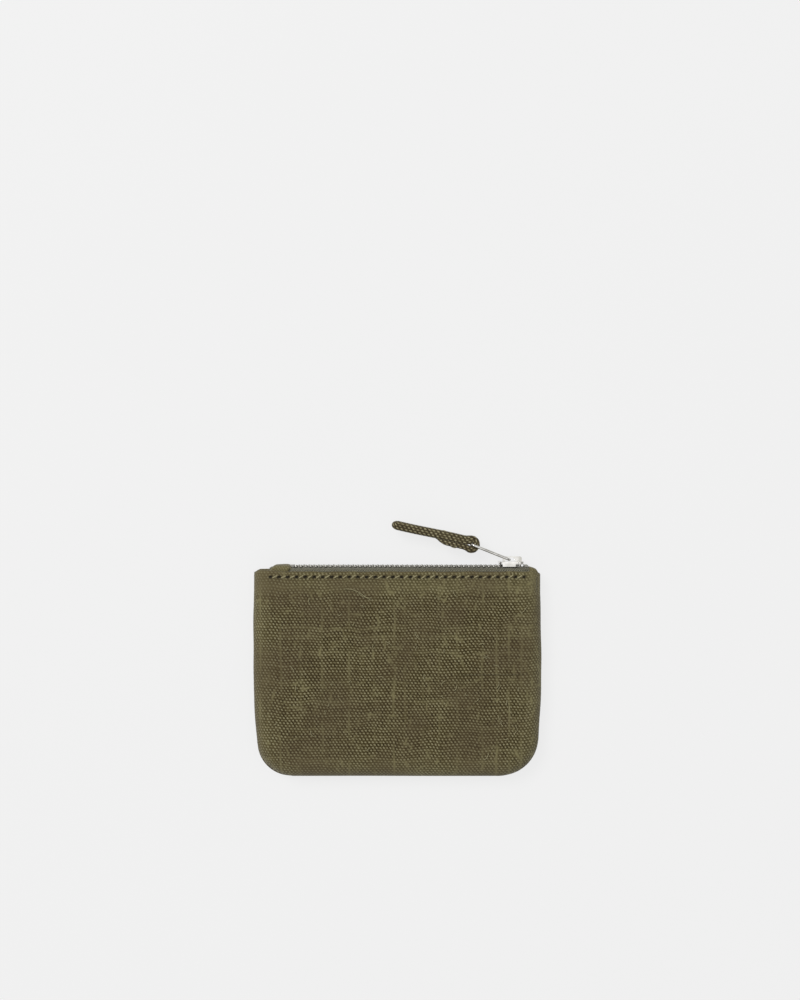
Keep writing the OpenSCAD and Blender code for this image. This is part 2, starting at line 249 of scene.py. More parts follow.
# %% [markdown]
# ## Metals
# The slider, crown and ring are zinc and steel with a bright nickel plate: almost mirror-like,
# slightly warm, with fine tumbling marks. The teeth are stamped brass with an antiqued, darkened
# finish that the slider has rubbed bright on the tips. A metal keeps the shader's own IOR.

# %% Metals
def plated(name, dark, light, roughness, grain, wear=None):
    material, tree, shader = new_material(name, {"Metallic": 1.0})
    where = add(tree, "TexCoord").outputs["Object"]
    marks = add(tree, "TexNoise", {"Vector": where, "Scale": 1 / (grain * MM), "Detail": 4.0})
    colour = ramp(tree, marks.outputs["Fac"], [(0.3, dark), (0.7, light)])
    if wear:
        edge = add(tree, "NewGeometry").outputs["Pointiness"]
        mask = add(tree, "MapRange", {"Value": edge, "From Min": 0.52, "From Max": 0.59})
        colour = mix(tree, mask.outputs[0], colour, wear)
    tree.links.new(colour, shader.inputs["Base Color"])
    spread = add(tree, "MapRange", {"Value": marks.outputs["Fac"], "To Min": roughness * 0.7,
                                    "To Max": roughness * 1.4})
    tree.links.new(spread.outputs[0], shader.inputs["Roughness"])
    bump = add(tree, "Bump", {"Height": marks.outputs["Fac"], "Distance": 0.004 * MM, "Strength": 0.1})
    tree.links.new(bump.outputs[0], shader.inputs["Normal"])
    return material


nickel = plated("bright_nickel_plate", "#c2c0b9", "#f2f0ec", 0.1, grain=2.5)
tooth_metal = plated("antiqued_zip_brass", "#45443e", "#6c6a62", 0.36, grain=0.35, wear="#cdcbc3")

# %% [markdown]
# ## Making cloth surfaces
# Cloth pieces are built as grids of points, row by row, because a grid can carry cloth
# coordinates: how far along and across the cloth each point is. The shader reads them as
# `cloth_mm`. Two more values mark thick yarns and needle holes, so that colour and shape agree:
# `slub` lightens the colour, over thick yarns and also near the outline and over the hem, and
# the other is painted shade that darkens the needle holes and the hollow along a thin yarn.
# A sculpted mesh would look as soft but would lose the run of the weave.

# %% Making cloth surfaces
def smooth(t):
    t = np.clip(t, 0, 1)
    return t * t * (3 - 2 * t)


def grid_faces(rows, columns, close_rows=False, close_columns=False):
    index = np.arange(rows * columns).reshape(rows, columns)
    if close_rows:
        index = np.vstack([index, index[:1]])
    if close_columns:
        index = np.hstack([index, index[:, :1]])
    return np.stack([index[:-1, :-1], index[:-1, 1:], index[1:, 1:], index[1:, :-1]], -1).reshape(-1, 4)


def grid_normals(points):
    normal = np.cross(np.gradient(points, axis=1), np.gradient(points, axis=0))
    return normal / np.maximum(np.linalg.norm(normal, axis=2, keepdims=True), 1e-12)


def grid_part(points, cloth, close_rows=False, close_columns=False, caps=False, fields=None):
    """A grid of points as one part of a piece: its points, cloth coordinates, faces and fields."""
    rows, columns = points.shape[:2]
    faces = grid_faces(rows, columns, close_rows, close_columns).tolist()
    if caps:
        faces.append(list(range(columns))[::-1])
        faces.append(list(range((rows - 1) * columns, rows * columns)))
    fields = {key: field.ravel() for key, field in (fields or {}).items()}
    return points.reshape(-1, 3), cloth.reshape(-1, 3), faces, fields


def build_piece(name, parts, material):
    """One object made of several parts, with its cloth coordinates as attributes."""
    points = np.concatenate([part[0] for part in parts])
    cloth = np.concatenate([part[1] for part in parts])
    faces, fields, first = [], {}, 0
    for part_points, _, part_faces, part_fields in parts:
        faces += [[corner + first for corner in face] for face in part_faces]
        for key, field in part_fields.items():
            fields.setdefault(key, np.zeros(len(points)))[first:first + len(part_points)] = field
        first += len(part_points)
    mesh = bpy.data.meshes.new(name)
    mesh.from_pydata(points.tolist(), [], faces)
    layer = mesh.attributes.new("cloth_mm", "FLOAT_VECTOR", "POINT")
    layer.data.foreach_set("vector", cloth.astype(np.float32).ravel())
    for key, field in fields.items():
        layer = mesh.attributes.new(key, "FLOAT", "POINT")
        layer.data.foreach_set("value", field.astype(np.float32))
    mesh.polygons.foreach_set("use_smooth", [True] * len(mesh.polygons))
    mesh.materials.append(material)
    piece = bpy.data.objects.new(name, mesh)
    bpy.context.scene.collection.objects.link(piece)
    print(f"{name}: {len(mesh.vertices)} points, {len(mesh.polygons)} faces")
    return piece


def place_piece(piece, body, slot, *nodes):
    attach(piece, body)
    if nodes:
        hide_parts(*nodes)


# %% [markdown]
# ## The outline of the panels
# A sewn and turned pouch has straight sides that pull in a little towards the bottom, corners
# that never quite match, and a fold along the mouth that dips between its ends. The outline is
# a formula: a half width for each height, less the round of the corner. The depth follows from
# the distance to that outline: a quarter round at the edge, then a slow rise to the middle.

# %% The outline of the panels
HALF_WIDTH = front_high.x
TOP_Y, LOW_Y = front_high.y, front_low.y
DEPTH = front_high.z - MID
CANVAS_T = 0.8 * MM
CORNERS = {-1: 14 * MM, 1: 16 * MM}      # the left and right bottom corners' radii
TAPER = {-1: 2.7 * MM, 1: 1.7 * MM}      # how far the sides pull in towards the bottom
HEM_DEPTH = 10 * MM
SEAM_WIDTH = 6.3 * MM
STITCH_Y = TOP_Y - 2.5 * MM
STITCH_PITCH = 3.6 * MM


def side_line(y, side):
    """The outline's straight side at a height, before the corner's round."""
    pull = TAPER[side] * np.clip((-5 * MM - y) / (35 * MM), 0, 1.1) ** 1.5
    bow = 0.35 * MM * np.cos(y / (42 * MM) * math.pi / 2)
    wander = 0.12 * MM * np.sin(y / (9 * MM) + side) + 0.06 * MM * np.sin(y / (3.1 * MM) - side)
    return HALF_WIDTH - 0.3 * MM - pull + bow + wander


def half_width(y, side):
    """The outline's half width at a height, with the corner's round."""
    radius = CORNERS[side]
    below = np.clip(radius - (y - LOW_Y), 0, radius)
    return side_line(y, side) - (radius - np.sqrt(np.maximum(radius ** 2 - below ** 2, 0)))


def edge_distance(x, y):
    """How far a point lies inside the outline."""
    line = np.where(x < 0, side_line(y, -1), side_line(y, 1))
    radius = np.where(x < 0, CORNERS[-1], CORNERS[1])
    from_side, from_low = line - np.abs(x), y - LOW_Y
    cx, cy = radius - from_side, radius - from_low
    corner = radius - np.hypot(np.maximum(cx, 0), np.maximum(cy, 0))
    return np.where((cx > 0) & (cy > 0), corner, np.minimum(from_side, from_low))


def depth_at(x, y):
    """How far the cloth stands out from the seam plane."""
    inside = edge_distance(x, y)
    edge = np.clip(inside / DEPTH, 0, 1)
    belly = np.clip(inside / (20 * MM), 0, 1)
    share = 0.9 * np.sqrt(1 - (1 - edge) ** 2) + 0.1 * np.sqrt(1 - (1 - belly) ** 2)
    return DEPTH * share


def fold_drop(x):
    """How far the fold along the mouth lies below its highest point."""
    dip = 0.35 * MM * smooth((x + 53 * MM) / (9 * MM)) * smooth((58 * MM - x) / (5 * MM))
    right_corner = 1.7 * MM * smooth((x - 57.2 * MM) / (2.6 * MM))
    left_corner = 1.1 * MM * smooth((-x - 57.3 * MM) / (2.6 * MM))
    corner = right_corner + left_corner
    return dip + corner + 0.08 * MM * np.sin(x / (2.7 * MM)) + 0.06 * MM * np.sin(x / (1.3 * MM))


def outline_path(inset, spacing=0.5 * MM):
    """Points along the outline, moved in, from the top left round to the top right."""
    left, right = CORNERS[-1], CORNERS[1]
    x_left = -side_line(LOW_Y + left, -1) + left
    x_right = side_line(LOW_Y + right, 1) - right
    y_left = np.arange(TOP_Y - 1.5 * MM, LOW_Y + left, -spacing)
    y_right = np.arange(LOW_Y + right, TOP_Y - 1.5 * MM, spacing)
    turn = np.linspace(0, math.pi / 2, int(right / spacing * 1.5))
    line = [np.stack([-side_line(y_left, -1) + inset, y_left], 1),
            np.stack([x_left - (left - inset) * np.cos(turn),
                      LOW_Y + left - (left - inset) * np.sin(turn)], 1)]
    across = np.arange(x_left + spacing, x_right, spacing)
    line.append(np.stack([across, LOW_Y + inset + 0 * across], 1))
    line.append(np.stack([x_right + (right - inset) * np.sin(turn),
                          LOW_Y + right - (right - inset) * np.cos(turn)], 1))
    line.append(np.stack([side_line(y_right, 1) - inset, y_right], 1))
    return np.concatenate(line)


seam_steps = np.linalg.norm(np.diff(outline_path(0), axis=0), axis=1)
print("the sides and bottom measure", round(seam_steps.sum() / MM), "mm")

# %% [markdown]
# ## The cloth's relief
# Onto that shape come the things that make canvas look like canvas: the crowns of the weave,
# yarns that are thicker than the rest, slubs where a yarn swells, the print of the seam allowance
# and of the hem from inside, and the small dents that the topstitch pulls. They are real
# geometry, so they show along the edges too.

# %% The cloth's relief
def scattered(u, v, count, length, width, pick, turn=False):
    """Soft swellings along the yarns, at random places."""
    field = np.zeros_like(u)
    for _ in range(count):
        cu, cv = pick.uniform(u.min(), u.max()), pick.uniform(v.min(), v.max())
        a, b = length * pick.uniform(0.5, 1.6), width * pick.uniform(0.7, 1.3)
        strength, lean = pick.uniform(0.4, 1), pick.uniform(-0.5, 0.5)
        if turn:
            a, b = b, a
        near = (np.abs(u - cu) < 3 * a) & (np.abs(v - cv) < 3 * b)
        du = u[near] - cu - (lean * (v[near] - cv) if turn else 0)
        dv = v[near] - cv - (0 if turn else lean * (u[near] - cu))
        field[near] += strength * np.exp(-(du / a) ** 2 - (dv / b) ** 2)
    return field


def thick_yarns(across, along, pitch, every, pick):
    """Yarns thicker than their neighbours, swelling and thinning along their length."""
    field = np.zeros_like(across)
    place = across.min()
    while place < across.max():
        place += every * pick.uniform(0.5, 1.6)
        yarn = round(place / pitch) * pitch
        strength, beat, phase = pick.uniform(0.25, 0.9), pick.uniform(3, 8), pick.uniform(0, 6)
        swell = 0.5 + 0.5 * np.sin(along / beat + phase)
        field += strength * swell * np.exp(-((across - yarn) / (0.55 * pitch)) ** 2)
    return field


def wobble(x, y, pick):
    """A smooth random drift, mostly between -1 and 1, with waves of 5 to 40 mm."""
    field = np.zeros_like(x)
    for _ in range(14):
        wave, angle, phase = pick.uniform(5, 40) * MM, pick.uniform(0, math.pi), pick.uniform(0, 6.3)
        field += np.sin((x * math.cos(angle) + y * math.sin(angle)) * 2 * math.pi / wave + phase)
    return field / 5


def relief(x, y, cloth, seed):
    """The relief's height in metres, the slub field and the pit field from 0 to 1; the pit field is
    painted shade for the needle holes and a thin yarn's hollow. The yarns drift too: the cloth
    coordinates that are passed in are moved."""
    pick = np.random.default_rng(seed)
    cloth[..., 0] += 0.3 * wobble(x, y, pick)
    cloth[..., 1] += 0.35 * wobble(x, y, pick)
    u, v = cloth[..., 0], cloth[..., 1]
    slub = scattered(u, v, 90, 1.3, 0.45, pick) + scattered(u, v, 150, 1.5, 0.38, pick, True)
    slub += 0.95 * thick_yarns(u, v, WARP, 7, pick) + 0.4 * thick_yarns(v, u, WEFT, 8, pick)
    slub = np.clip(slub, 0, 1)
    inside = edge_distance(x, y)
    allowance = 0.16 * MM * (1 - smooth((inside - 5.9 * MM) / (0.9 * MM)))
    hem = 0.18 * MM * smooth((y - (TOP_Y - HEM_DEPTH)) / (0.8 * MM))
    along = ((x / STITCH_PITCH) % 1 - 0.5) * STITCH_PITCH
    from_row = y - STITCH_Y
    groove = np.exp(-(from_row / (0.8 * MM)) ** 2)
    hole = np.exp(-((from_row - 0.12 * along) / (0.45 * MM)) ** 2 - (along / (0.8 * MM)) ** 4)
    hole = hole * (1 - smooth((np.abs(x) - 52.3 * MM) / MM))
    thin_yarn = np.exp(-((y - 0.2 * MM) / (0.26 * MM)) ** 2)
    thin_yarn = 0.5 * thin_yarn * smooth((x - 23 * MM) / (6 * MM)) * smooth((54 * MM - x) / (4 * MM))
    leaning = u - SLANT * WARP * np.sin(2 * math.pi * v / WEFT)
    weave = 0.085 * MM * np.cos(math.pi * leaning / WARP) * np.cos(math.pi * v / WEFT)
    roll = np.sin(x / (17 * MM) + seed) * np.sin(y / (12 * MM) + 2 * seed)
    roll += 0.5 * np.sin(x / (7.3 * MM) - seed) * np.sin(y / (8.1 * MM))
    height = weave * (1 + 0.5 * slub) + 0.12 * MM * slub + allowance + hem + 0.14 * MM * roll
    # This raises the slub field, and so lightens the colour, within 13 mm of the outline and over the hem.
    edge = 0.3 * (1 - smooth(inside / (13 * MM))) + 0.25 * smooth((y - 32 * MM) / (3 * MM))
    height = height - 0.24 * MM * groove - 0.5 * MM * hole - 0.1 * MM * thin_yarn
    # The pit field returned last is painted shade in the needle holes and along the thin yarn.
    return height, np.clip(slub + edge, 0, 1), np.clip(1.7 * hole + thin_yarn, 0, 1)


# %% [markdown]
# ## The two canvas panels
# Each panel is one cut of cloth: it comes up inside the mouth, folds over the hem, runs down the
# face, rolls round to the seam and turns inside as the seam allowance. The columns and rows are
# spaced evenly along the cloth, four to a pair of warp yarns, so that every crown has its points.
# The filled-out shape is worked out and not simulated: cloth this stiff and this small hardly
# sags, and a simulation's remesh would cost the run of the weave.

# %% The two canvas panels
STEP = 0.37 * MM
ROUND = DEPTH * math.pi / 2


def cloth_lines():
    """Places across and down the face, evenly spaced along the cloth."""
    flat = HALF_WIDTH - DEPTH
    along = np.linspace(-flat - ROUND, flat + ROUND, int(2 * (flat + ROUND) / STEP))
    over = np.clip(np.abs(along) - flat, 0, None) / DEPTH
    x = np.sign(along) * (np.minimum(np.abs(along), flat) + DEPTH * np.sin(over))
    straight = TOP_Y - CANVAS_T - (LOW_Y + DEPTH)
    down = np.linspace(0, straight + ROUND, int((straight + ROUND) / STEP))
    under = np.clip(down - straight, 0, None) / DEPTH
    return x / HALF_WIDTH, TOP_Y - CANVAS_T - np.minimum(down, straight) - DEPTH * np.sin(under)


def cloth_grid(face):
    """Cloth coordinates in mm: the yarns stay straight over the flat and follow the rolled edges."""
    across = np.sqrt(np.diff(face[..., 0], axis=1) ** 2 + np.diff(face[..., 2], axis=1) ** 2)
    down = np.sqrt(np.diff(face[..., 1], axis=0) ** 2 + np.diff(face[..., 2], axis=0) ** 2)
    u = np.pad(np.cumsum(across, axis=1), ((0, 0), (1, 0)))
    v = np.pad(np.cumsum(down, axis=0), ((1, 0), (0, 0)))
    middle = face.shape[1] // 2
    return np.stack([(u - u[:, middle:middle + 1]) / MM, v / MM, 0 * u], axis=2)


def hem_fold(face, cloth):
    """The rows that come before the face: up inside the mouth and over the fold."""
    drops = (9 * MM, 6 * MM, 3 * MM)
    rows = [face[0] + np.array([0, -drop, -2 * CANVAS_T]) for drop in drops]
    turns = np.linspace(math.pi, 0, 9)[:-1]
    for turn in turns:
        rows.append(face[0] + CANVAS_T * np.array([0, math.sin(turn), math.cos(turn) - 1]))
    rows = np.array(rows)
    rows[..., 2] = np.maximum(rows[..., 2], 0.1 * MM)
    above = [*((drop + CANVAS_T) / MM for drop in drops), *(CANVAS_T / MM * turns)]
    fold_cloth = np.repeat(cloth[:1], len(rows), axis=0)
    fold_cloth[..., 1] = -np.array(above)[:, None]
    return rows, fold_cloth


def allowance_strip():
    """The seam allowance, flat inside the seam, as a part of its own."""
    places = ((0.05 * MM, 0.1 * MM), (0.8 * MM, 0.35 * MM), (SEAM_WIDTH, 0.4 * MM))
    points = np.array([np.pad(outline_path(inset), ((0, 0), (0, 1)), constant_values=height)
                       for inset, height in places])
    return grid_part(points, points / MM)


def make_panel(name, front, seed):
    share, y_rows = cloth_lines()
    y = np.repeat(y_rows[:, None], len(share), axis=1)
    x = share * np.where(share < 0, half_width(y, -1), half_width(y, 1))
    z = depth_at(x, y)
    y = y - fold_drop(x) * smooth((y - 30 * MM) / (11 * MM))
    face = np.stack([x, y, z], axis=2)
    cloth = cloth_grid(face)
    height, slub, pit_shade = relief(x, y, cloth, seed)
    edge = smooth(edge_distance(x, y) / (1.2 * MM)) * 0.8 + 0.2
    rest = 0 if front else 0.5 * MM
    face = face + grid_normals(face) * ((height - rest) * edge)[..., None]
    face[..., 2] = np.clip(face[..., 2], 0, None if front else MID - 0.03 * MM)
    fold, fold_cloth = hem_fold(face, cloth)
    fields = {key: np.concatenate([np.repeat(field[:1], len(fold), axis=0), field])
              for key, field in (("slub", slub), ("pit_shade", pit_shade))}
    parts = [grid_part(np.concatenate([fold, face]), np.concatenate([fold_cloth, cloth]), fields=fields),
             allowance_strip()]
    for part_points, _, part_faces, _ in parts:
        part_points[:, 2] = MID + part_points[:, 2] * (1 if front else -1)
        for face_corners in part_faces if front else []:
            face_corners.reverse()
    return build_piece(name, parts, canvas)


for piece_name, node, front, seed in (("front_canvas", "front_panel", True, 3),
                                      ("back_canvas", "back_panel", False, 8)):
    piece = make_panel(piece_name, front, seed)
    place_piece(piece, "pouch", "canvas", node)

# %% [markdown]
# ## One sweep for threads, cords, tabs and straps
# Everything long and narrow here is a section swept along a path: a thread, a cord, a folded tab,
# the pull strap. The section is a superellipse, from round for a thread to nearly square for a
# folded strip, and the relief is added along its own normals. A Blender curve with a bevel could
# do the round ones, but not a changing section with cloth coordinates.

# %% One sweep for threads, cords, tabs and straps
def sweep(path, wide_way, half_thick, half_wide, sides=24, square=1.0, bumps=None):
    """A closed tube along a path. square is 1 for round, lower for boxier."""
    path = np.asarray(path, float)
    count = len(path)
    ahead = np.gradient(path, axis=0)
    ahead /= np.linalg.norm(ahead, axis=1, keepdims=True)
    wide = np.broadcast_to(np.asarray(wide_way, float), path.shape)
    wide = wide - ahead * np.sum(wide * ahead, axis=1, keepdims=True)
    wide /= np.linalg.norm(wide, axis=1, keepdims=True)
    thick = np.cross(wide, ahead)
    turn = np.linspace(0, 2 * math.pi, sides, endpoint=False)
    c = np.sign(np.cos(turn)) * np.abs(np.cos(turn)) ** square
    s = np.sign(np.sin(turn)) * np.abs(np.sin(turn)) ** square
    half_thick = np.broadcast_to(half_thick, count)[:, None]
    half_wide = np.broadcast_to(half_wide, count)[:, None]
    points = (path[:, None] + thick[:, None] * (half_thick * c)[..., None]
              + wide[:, None] * (half_wide * s)[..., None])
    along = np.pad(np.cumsum(np.linalg.norm(np.diff(path, axis=0), axis=1)), (1, 0)) / MM
    around = np.pad(np.cumsum(np.linalg.norm(np.diff(points, axis=1), axis=2), axis=1), ((0, 0), (1, 0)))
    cloth = np.stack([np.repeat(along[:, None], sides, axis=1), around / MM, 0 * around], axis=2)
    if bumps:
        outward = points - path[:, None]
        outward /= np.maximum(np.linalg.norm(outward, axis=2, keepdims=True), 1e-9)
        points = points + outward * bumps(cloth)[..., None]
    return grid_part(points, cloth, close_columns=True, caps=True)


END_RINGS = 5                    # rings that close each end of a sweep


def round_ends(count, ends=END_RINGS):
    """Factors that close a sweep's two ends with a round."""
    factor = np.ones(count)
    cap = np.sqrt(1 - np.linspace(0.98, 0.1, ends) ** 2)
    factor[:ends] = cap
    factor[-ends:] = np.minimum(factor[-ends:], cap[::-1])
    return factor


def weave_bumps(warp, weft, height):
    def bumps(cloth):
        return height * np.cos(math.pi * cloth[..., 0] / warp) * np.cos(math.pi * cloth[..., 1] / weft)
    return bumps


def ply_bumps(cloth):
    return 0.03 * MM * np.sin(2 * math.pi * (cloth[..., 0] + cloth[..., 1]) / PLY)


def thread_run(start, end, lift, diameter, out_way, steps=22):
    """One stitch: a thread that rises out of the cloth, arches over and dives back."""
    t = np.linspace(0, 1, steps)[:, None]
    path = np.array(start) * (1 - t) + np.array(end) * t
    path = path + np.array(out_way) * (lift * (np.sin(math.pi * t) ** 0.6 * 2 - 1))
    return sweep(path, (0.01, 0.02, 1) if abs(out_way[2]) < 0.5 else (0, 1, 0.01),
                 diameter / 2, diameter / 2, sides=10, bumps=ply_bumps)


print("sweeps close their ends over", END_RINGS, "rings or more")

# %% [markdown]
# ## The topstitch
# A heavy lockstitch holds the tape to the hem. From outside it shows as short strands that slant
# where the two threads pull on each other, with the needle's dark hollows between them. Each
# strand is its own little arch of twisted thread; a straight row of dashes would look printed.

# %% The topstitch
def topstitch(name, node, front):
    low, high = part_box(node)
    out = 1 if front else -1
    level = MID + out * (DEPTH - (0.1 if front else 0.6) * MM)
    count = round((high.x - low.x) / STITCH_PITCH)
    parts = []
    for k in range(count):
        x = (k - (count - 1) / 2) * STITCH_PITCH
        lean, shift = rng.uniform(0.45, 0.7) * MM, rng.uniform(-0.12, 0.12) * MM
        reach = rng.uniform(0.85, 1.05) * MM
        parts.append(thread_run((x - reach, STITCH_Y + shift - lean, level),
                                (x + reach, STITCH_Y + shift + lean, level),
                                0.38 * MM, 0.5 * MM, (0, 0, out)))
    piece = build_piece(name, parts, thread)
    place_piece(piece, "pouch", "thread", node)


topstitch("front_topstitch_thread", "front_topstitch", True)
topstitch("back_topstitch_thread", "back_topstitch", False)

# %% [markdown]
# ## Inside the seam
# Inside, the two seam allowances lie together in a folded binding tape, beside the lockstitch
# that closes the pouch. None of it shows while the zip is closed, but a part that is opened up
# or cut through has to have it, so it is made along the same outline as the panels.

# %% Inside the seam
def seam_binding():
    """A folded tape round the raw edges: one closed section swept along the outline."""
    section = ((5.0, 0.85), (6.5, 0.9), (6.65, 0.5), (6.65, -0.5), (6.5, -0.9), (5.0, -0.85),
               (5.0, -1.15), (6.6, -1.15), (6.95, -0.6), (6.95, 0.6), (6.6, 1.15), (5.0, 1.15))
    points = np.array([np.pad(outline_path(inset * MM), ((0, 0), (0, 1)), constant_values=MID + up * MM)
                       for inset, up in section])
    points = points.transpose(1, 0, 2)
    return build_piece("side_seam_binding", [grid_part(points, points / MM, close_columns=True, caps=True)],
                       binding_cloth)


def seam_lockstitch():
    line = outline_path(4.2 * MM)
    parts = []
    for k in range(8, len(line) - 8, 7):
        a, b = line[k - 3], line[k + 3]
        for out in (1, -1):
            level = MID + out * 0.97 * MM
            parts.append(thread_run((*a, level), (*b, level), 0.12 * MM, 0.3 * MM, (0, 0, out), steps=10))
    return build_piece("seam_lockstitch", parts, thread)


place_piece(seam_binding(), "pouch", "binding", "seam_binding")
place_piece(seam_lockstitch(), "pouch", "thread", "seam_stitches")

# %% [markdown]
# ## The zip's tapes and cords
# Each tape is woven flat, with a cord along one edge for the teeth to bite on. It leaves the
# teeth level, turns down over a small radius and is sewn inside the hem. It is swept along the
# zip as one bent section, because the bend is what catches the light under the teeth.

# %% The zip's tapes and cords
TAPE_T = 0.5 * MM
tape_low, tape_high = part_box("front_zip_tape")
SINK = 0.15 * MM                 # how far tape, cord and slots lie below the teeth's middle
TAPE_Y = tape_high.y - TAPE_T / 2 - SINK
LEG_Z = tape_high.z - MID - TAPE_T / 2
CORD_Z = 1.45 * MM
TAPE_IN = tape_low.z - MID


def tape_section():
    """The middle line of a tape's section, from the teeth outwards and down."""
    bend = 1.2 * MM
    turn = np.linspace(0, math.pi / 2, 9)
    level = np.linspace(TAPE_IN + 0.05 * MM, LEG_Z - bend, 6)[:-1]
    y = [*(TAPE_Y + 0 * level), *(TAPE_Y - bend + bend * np.cos(turn))]
    z = [*level, *(LEG_Z - bend + bend * np.sin(turn))]
    drop = np.linspace(TAPE_Y - bend, tape_low.y + 0.1 * MM, 14)[1:]
    return np.stack([[*y, *drop], [*z, *(LEG_Z + 0 * drop)]], axis=1)


def make_tape(name, node, front):
    line = tape_section()
    ahead = np.gradient(line, axis=0)
    side = np.stack([-ahead[:, 1], ahead[:, 0]], axis=1)
    side /= np.linalg.norm(side, axis=1, keepdims=True)
    half = TAPE_T / 2 * 0.94
    loop = np.concatenate([line + side * half, (line - side * half)[::-1]])
    xs = np.arange(tape_low.x + 0.3 * MM, tape_high.x - 0.3 * MM, 0.4 * MM)
    under_left = smooth((-42.5 * MM - xs) / (3 * MM))
    under_right = smooth((xs - 51 * MM) / (3 * MM))
    draw_in = 1 - 0.3 * under_left - 0.38 * under_right
    points = np.zeros((len(xs), len(loop), 3))
    points[..., 0] = xs[:, None]
    wave = 0.05 * MM * np.sin(xs / (2.1 * MM)) + 0.03 * MM * np.sin(xs / (0.9 * MM))
    tucked = 1.7 * MM * smooth((xs - 54.9 * MM) / (2.4 * MM))
    points[..., 1] = loop[:, 0] + (wave - tucked)[:, None]
    outward = np.minimum(loop[:, 1], TAPE_IN) + np.maximum(loop[:, 1] - TAPE_IN, 0) * draw_in[:, None]
    points[..., 2] = MID + outward * (1 if front else -1)
    down = np.pad(np.cumsum(np.linalg.norm(np.diff(loop, axis=0), axis=1)), (1, 0)) / MM
    cloth = np.zeros_like(points)
    cloth[..., 0] = xs[:, None] / MM
    cloth[..., 1] = down
    piece = build_piece(name, [grid_part(points, cloth, close_columns=True, caps=True)], tape_cloth)
    place_piece(piece, "pouch", "zip_tape", node)
    length = np.linalg.norm(np.diff(line, axis=0), axis=1).sum()
    return length


def make_cord(name, node, front):
    low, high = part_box(node)
    xs = np.arange(low.x, high.x, 0.3 * MM)
    level = MID + CORD_Z * (1 if front else -1)
    path = np.stack([xs, TAPE_Y + 0 * xs, level + 0 * xs], axis=1)
    radius = 0.53 * MM * round_ends(len(xs))
    piece = build_piece(name, [sweep(path, (0, 0, 1), radius, radius, 16, bumps=ply_bumps)], cord_yarn)
    place_piece(piece, "pouch", "zip_tape", node)


for side_name, front in (("front", True), ("back", False)):
    tape_width = make_tape(f"{side_name}_tape", f"{side_name}_zip_tape", front)
    make_cord(f"{side_name}_cord", f"{side_name}_tape_cord", front)
print("each tape is", round(tape_width / MM, 1), "mm wide")

# %% [markdown]
# ## The teeth
# Each tooth is stamped from wire: two rounded jaws that close on the tape's cord, and a narrower
# head that reaches between the teeth of the other row. One tooth is lofted from rounded loops
# and repeated at the frame's own spacing. Small rounds on every edge are what make the row
# glitter, and the round tops give the chain its beaded line.

# %% The teeth
JAW_W, HEAD_W = 1.3 * MM, 0.94 * MM
TOOTH_PITCH = 2.06 * MM
JAW_ROOM = 0.57 * MM             # radius of what the jaws leave open for the cord
SLOT = 0.27 * MM                 # half of what they leave open for the tape
JAW_START, JAW_END = 0.62 * MM, 2.24 * MM
JAW_LOOPS = 12


def rounded_loop(half_x, low_y, high_y, top_radius, low_radius, per_corner=5):
    """A rectangle with round corners, as a loop of points."""
    points = []
    for sx, y, start in ((1, high_y, 0), (-1, high_y, 90), (-1, low_y, 180), (1, low_y, 270)):
        radius = top_radius if y == high_y else low_radius
        radius = min(radius, half_x * 0.98, high_y - low_y - (low_radius if y == high_y else top_radius))
        cy = y - radius if y == high_y else y + radius
        for k in range(per_corner):
            angle = math.radians(start + 90 * k / (per_corner - 1))
            points.append((sx * (half_x - radius) + radius * math.cos(angle), cy + radius * math.sin(angle)))
    return points


def loft_up(stations, top_radius, low_radius):
    """A closed block from loops at heights: (height, half width, low, high) each."""
    return np.array([[(x, y, z) for x, y in rounded_loop(half, low, high, top_radius, low_radius)]
                     for z, half, low, high in stations])


def jaw_stations(top, sink):
    stations = []
    for k, z in enumerate(np.linspace(JAW_START, JAW_END, JAW_LOOPS)):
        from_end = min(k, JAW_LOOPS - 1 - k)
        inside = math.sqrt(max(JAW_ROOM ** 2 - (z - CORD_Z) ** 2, 0))
        shrink = {0: 0.14 * MM, 1: 0.03 * MM}.get(from_end, 0)
        low = max(SLOT, inside) + sink
        stations.append((z, JAW_W / 2 - shrink, low, top - shrink))
    return stations


def tooth_parts(top):
    """The shapes of one tooth round the tape's middle, with the head towards the other row."""
    upper = loft_up(jaw_stations(top, -SINK), 0.6 * MM, 0.1 * MM)
    lower = loft_up(jaw_stations(top, SINK), 0.15 * MM, 0.1 * MM) * np.array([1, -1, 1])
    head = []
    for z, shrink in ((-0.58, 0.2), (-0.5, 0.07), (-0.35, 0), (0.4, 0), (0.7, 0), (0.86, 0.12)):
        head.append((z * MM, HEAD_W / 2 - shrink * MM, -top + shrink * MM, top - shrink * MM))
    head = loft_up(head, 0.44 * MM, 0.44 * MM)
    return [(upper, False), (lower, True), (head, False)]


def make_teeth(name, node, front):
    low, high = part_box(node)
    top = (high.y - low.y) / 2
    count = round((high.x - low.x - JAW_W) / TOOTH_PITCH) + 1
    pitch = (high.x - low.x - JAW_W) / (count - 1)
    middle_y = (high.y + low.y) / 2
    parts = []
    for k in range(count):
        x = low.x + JAW_W / 2 + k * pitch
        tilt, lift = rng.uniform(-0.03, 0.03), rng.uniform(-0.03, 0.03) * MM
        for shape, flip in tooth_parts(top - 0.04 * MM):
            points = shape.copy()
            points[..., 0] += x + tilt * points[..., 1]
            points[..., 1] += middle_y + lift
            points[..., 2] = MID + points[..., 2] * (1 if front else -1)
            part = grid_part(points, points / MM, close_columns=True, caps=True)
            if flip == front:
                for face_corners in part[2]:
                    face_corners.reverse()
            parts.append(part)
    piece = build_piece(name, parts, tooth_metal)
    place_piece(piece, "pouch", "tooth_metal", node)
    print(name, count, "teeth,", round(pitch / MM, 2), "mm apart")


